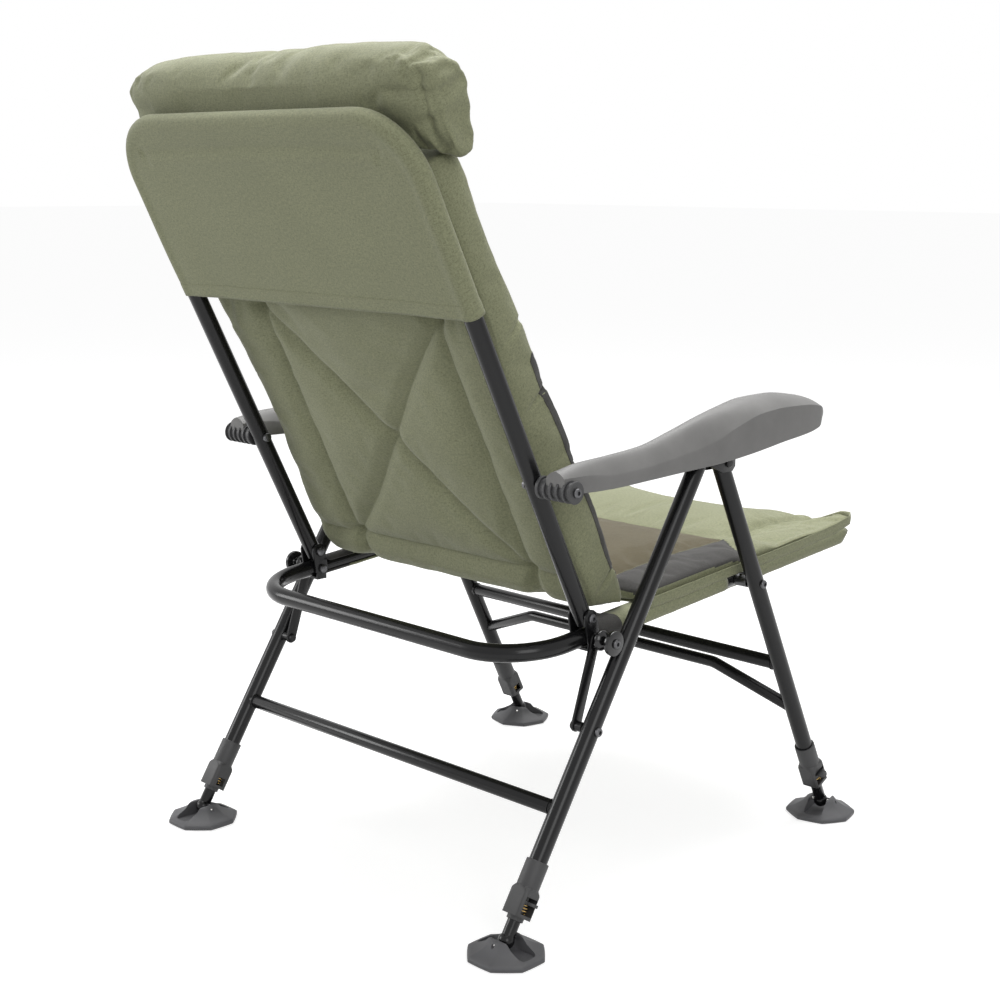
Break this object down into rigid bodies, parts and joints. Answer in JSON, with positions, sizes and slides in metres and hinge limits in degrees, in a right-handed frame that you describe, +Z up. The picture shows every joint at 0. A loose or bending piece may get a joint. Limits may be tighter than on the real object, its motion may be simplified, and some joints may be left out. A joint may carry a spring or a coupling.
{
  "type": "folding padded armchair",
  "caption": "Folding padded fishing armchair with a black tubular frame, quilted high back, head pillow, moulded armrests and adjustable legs on swivelling pads.",
  "frame": {"origin": "on the ground, under the middle of the chair's bounding box", "axes": "+Z up, the sitter faces -Y, +X is the sitter's left"},
  "size_m": [0.6732, 0.8866, 1.0098],
  "materials": {
    "padding": "woven olive polyester with dark fleece panels",
    "frame_paint": "glossy black powder coat",
    "plate_paint": "satin black powder coat",
    "bolt_steel": "dark zinc plating",
    "bright_steel": "bright zinc plating",
    "brass": "drawn wire",
    "arm_plastic": "fine grained dark gray moulding",
    "black_plastic": "moulded nylon",
    "gloss_plastic": "glossy black moulding"
  },
  "bodies": {
    "seat": {"seat_frame": "frame_paint", "seat_plug_right": "black_plastic", "seat_plug_left": "black_plastic", "seat_sling": "padding", "seat_cushion": "padding", "hinge_bracket_right": "plate_paint", "back_pivot_bolt_right": "bolt_steel", "stop_bolt_right": "bolt_steel", "stop_spool_right": "gloss_plastic", "front_pivot_bolt_right": "bolt_steel", "hinge_bracket_left": "plate_paint", "back_pivot_bolt_left": "bolt_steel", "stop_bolt_left": "bolt_steel", "stop_spool_left": "gloss_plastic", "front_pivot_bolt_left": "bolt_steel"},
    "back": {"back_frame": "frame_paint", "back_sleeve": "padding", "back_cushion": "padding", "head_pillow": "padding"},
    "front_legs": {"front_leg_right": "frame_paint", "front_leg_left": "frame_paint", "front_cross_upper": "frame_paint", "front_cross_lower": "frame_paint", "collar_front_right": "black_plastic", "latch_spring_front_right": "brass", "collar_front_left": "black_plastic", "latch_spring_front_left": "brass"},
    "arm_right": {"armrest_right": "arm_plastic", "arm_bracket_right": "plate_paint", "arm_rear_bolt_right": "bolt_steel"},
    "arm_left": {"armrest_left": "arm_plastic", "arm_bracket_left": "plate_paint", "arm_rear_bolt_left": "bolt_steel"},
    "rear_legs": {"rear_leg_right": "frame_paint", "rear_leg_left": "frame_paint", "rear_cross": "frame_paint", "link_bolt_right": "bolt_steel", "link_bolt_left": "bolt_steel", "collar_rear_right": "black_plastic", "latch_spring_rear_right": "brass", "collar_rear_left": "black_plastic", "latch_spring_rear_left": "brass"},
    "link_right": {"link_bar_right": "plate_paint"},
    "link_left": {"link_bar_left": "plate_paint"},
    "latch_front_right": {"latch_front_right": "black_plastic"},
    "shaft_front_right": {"inner_leg_front_right": "frame_paint"},
    "pin_front_right": {"foot_pin_front_right": "bright_steel"},
    "pad_front_right": {"foot_pad_front_right": "black_plastic"},
    "latch_front_left": {"latch_front_left": "black_plastic"},
    "shaft_front_left": {"inner_leg_front_left": "frame_paint"},
    "pin_front_left": {"foot_pin_front_left": "bright_steel"},
    "pad_front_left": {"foot_pad_front_left": "black_plastic"},
    "latch_rear_right": {"latch_rear_right": "black_plastic"},
    "shaft_rear_right": {"inner_leg_rear_right": "frame_paint"},
    "pin_rear_right": {"foot_pin_rear_right": "bright_steel"},
    "pad_rear_right": {"foot_pad_rear_right": "black_plastic"},
    "latch_rear_left": {"latch_rear_left": "black_plastic"},
    "shaft_rear_left": {"inner_leg_rear_left": "frame_paint"},
    "pin_rear_left": {"foot_pin_rear_left": "bright_steel"},
    "pad_rear_left": {"foot_pad_rear_left": "black_plastic"}
  },
  "joints": [
    {"name": "back_fold", "type": "hinge", "parent": "seat", "child": "back", "pos_m": [0, 0.14233, 0.3582], "axis": [1, 0, 0], "range_deg": [0, 80], "deforming": ["back_cushion"]},
    {"name": "front_leg_fold", "type": "hinge", "parent": "seat", "child": "front_legs", "pos_m": [0, -0.14567, 0.3572], "axis": [1, 0, 0], "range_deg": [0, 80]},
    {"name": "arm_right_fold", "type": "hinge", "parent": "back", "child": "arm_right", "pos_m": [-0.29, 0.22682, 0.52547], "axis": [1, 0, 0], "range_deg": [-80, 0]},
    {"name": "arm_left_fold", "type": "hinge", "parent": "back", "child": "arm_left", "pos_m": [0.29, 0.22682, 0.52547], "axis": [1, 0, 0], "range_deg": [-80, 0]},
    {"name": "rear_leg_fold", "type": "hinge", "parent": "arm_left", "child": "rear_legs", "pos_m": [0.29, -0.02618, 0.53997], "axis": [1, 0, 0], "range_deg": [0, 24.5]},
    {"name": "link_right_turn", "type": "hinge", "parent": "seat", "child": "link_right", "pos_m": [-0.29, 0.13782, 0.33339], "axis": [1, 0, 0], "range_deg": [-82.2, 0]},
    {"name": "link_left_turn", "type": "hinge", "parent": "seat", "child": "link_left", "pos_m": [0.29, 0.13782, 0.33339], "axis": [1, 0, 0], "range_deg": [-82.2, 0]},
    {"name": "latch_front_right_press", "type": "hinge", "parent": "front_legs", "child": "latch_front_right", "pos_m": [-0.2798, -0.29241, 0.0667], "axis": [0, -0.8926, 0.4509], "range_deg": [0, 7], "stiffness_Nm_per_rad": 0.27, "deforming": ["latch_spring_front_right"]},
    {"name": "leg_front_right_extend", "type": "slide", "parent": "front_legs", "child": "shaft_front_right", "axis": [0, -0.4509, -0.8926], "range_m": [0, 0.1]},
    {"name": "foot_front_right_rock", "type": "hinge", "parent": "shaft_front_right", "child": "pin_front_right", "pos_m": [-0.29, -0.31676, 0.0185], "axis": [-0.2588, 0.9659, 0], "range_deg": [-6, 6]},
    {"name": "foot_front_right_tilt", "type": "hinge", "parent": "pin_front_right", "child": "pad_front_right", "pos_m": [-0.29, -0.31676, 0.0185], "axis": [0.9659, 0.2588, 0], "range_deg": [-40, 40]},
    {"name": "latch_front_left_press", "type": "hinge", "parent": "front_legs", "child": "latch_front_left", "pos_m": [0.2798, -0.29241, 0.0667], "axis": [0, 0.8926, -0.4509], "range_deg": [0, 7], "stiffness_Nm_per_rad": 0.27, "deforming": ["latch_spring_front_left"]},
    {"name": "leg_front_left_extend", "type": "slide", "parent": "front_legs", "child": "shaft_front_left", "axis": [0, -0.4509, -0.8926], "range_m": [0, 0.1]},
    {"name": "foot_front_left_rock", "type": "hinge", "parent": "shaft_front_left", "child": "pin_front_left", "pos_m": [0.29, -0.31676, 0.0185], "axis": [0.866, 0.5, 0], "range_deg": [-6, 0]},
    {"name": "foot_front_left_tilt", "type": "hinge", "parent": "pin_front_left", "child": "pad_front_left", "pos_m": [0.29, -0.31676, 0.0185], "axis": [0.5, -0.866, 0], "range_deg": [-20, 20]},
    {"name": "latch_rear_right_press", "type": "hinge", "parent": "rear_legs", "child": "latch_rear_right", "pos_m": [-0.2798, 0.28321, 0.05805], "axis": [0, -0.8415, -0.5402], "range_deg": [0, 7], "stiffness_Nm_per_rad": 0.27, "deforming": ["latch_spring_rear_right"]},
    {"name": "leg_rear_right_extend", "type": "slide", "parent": "rear_legs", "child": "shaft_rear_right", "axis": [0, 0.5402, -0.8415], "range_m": [0, 0.1]},
    {"name": "foot_rear_right_rock", "type": "hinge", "parent": "shaft_rear_right", "child": "pin_rear_right", "pos_m": [-0.29, 0.3086, 0.0185], "axis": [-1, 0, 0], "range_deg": [-6, 0]},
    {"name": "foot_rear_right_tilt", "type": "hinge", "parent": "pin_rear_right", "child": "pad_rear_right", "pos_m": [-0.29, 0.3086, 0.0185], "axis": [0, 1, 0], "range_deg": [-20, 20]},
    {"name": "latch_rear_left_press", "type": "hinge", "parent": "rear_legs", "child": "latch_rear_left", "pos_m": [0.2798, 0.28321, 0.05805], "axis": [0, 0.8415, 0.5402], "range_deg": [0, 7], "stiffness_Nm_per_rad": 0.27, "deforming": ["latch_spring_rear_left"]},
    {"name": "leg_rear_left_extend", "type": "slide", "parent": "rear_legs", "child": "shaft_rear_left", "axis": [0, 0.5402, -0.8415], "range_m": [0, 0.1]},
    {"name": "foot_rear_left_rock", "type": "hinge", "parent": "shaft_rear_left", "child": "pin_rear_left", "pos_m": [0.29, 0.3086, 0.0185], "axis": [0, 1, 0], "range_deg": [-6, 6]},
    {"name": "foot_rear_left_tilt", "type": "hinge", "parent": "pin_rear_left", "child": "pad_rear_left", "pos_m": [0.29, 0.3086, 0.0185], "axis": [1, 0, 0], "range_deg": [-40, 40]}
  ],
  "couplings": [
    {"joint": "front_leg_fold", "follows": "back_fold", "ratio": 1},
    {"joint": "arm_right_fold", "follows": "back_fold", "ratio": -1},
    {"joint": "arm_left_fold", "follows": "back_fold", "ratio": -1},
    {"joint": "rear_leg_fold", "follows": "back_fold", "ratio": 0.30567},
    {"joint": "link_right_turn", "follows": "back_fold", "ratio": -1.0268},
    {"joint": "link_left_turn", "follows": "back_fold", "ratio": -1.0268}
  ]
}
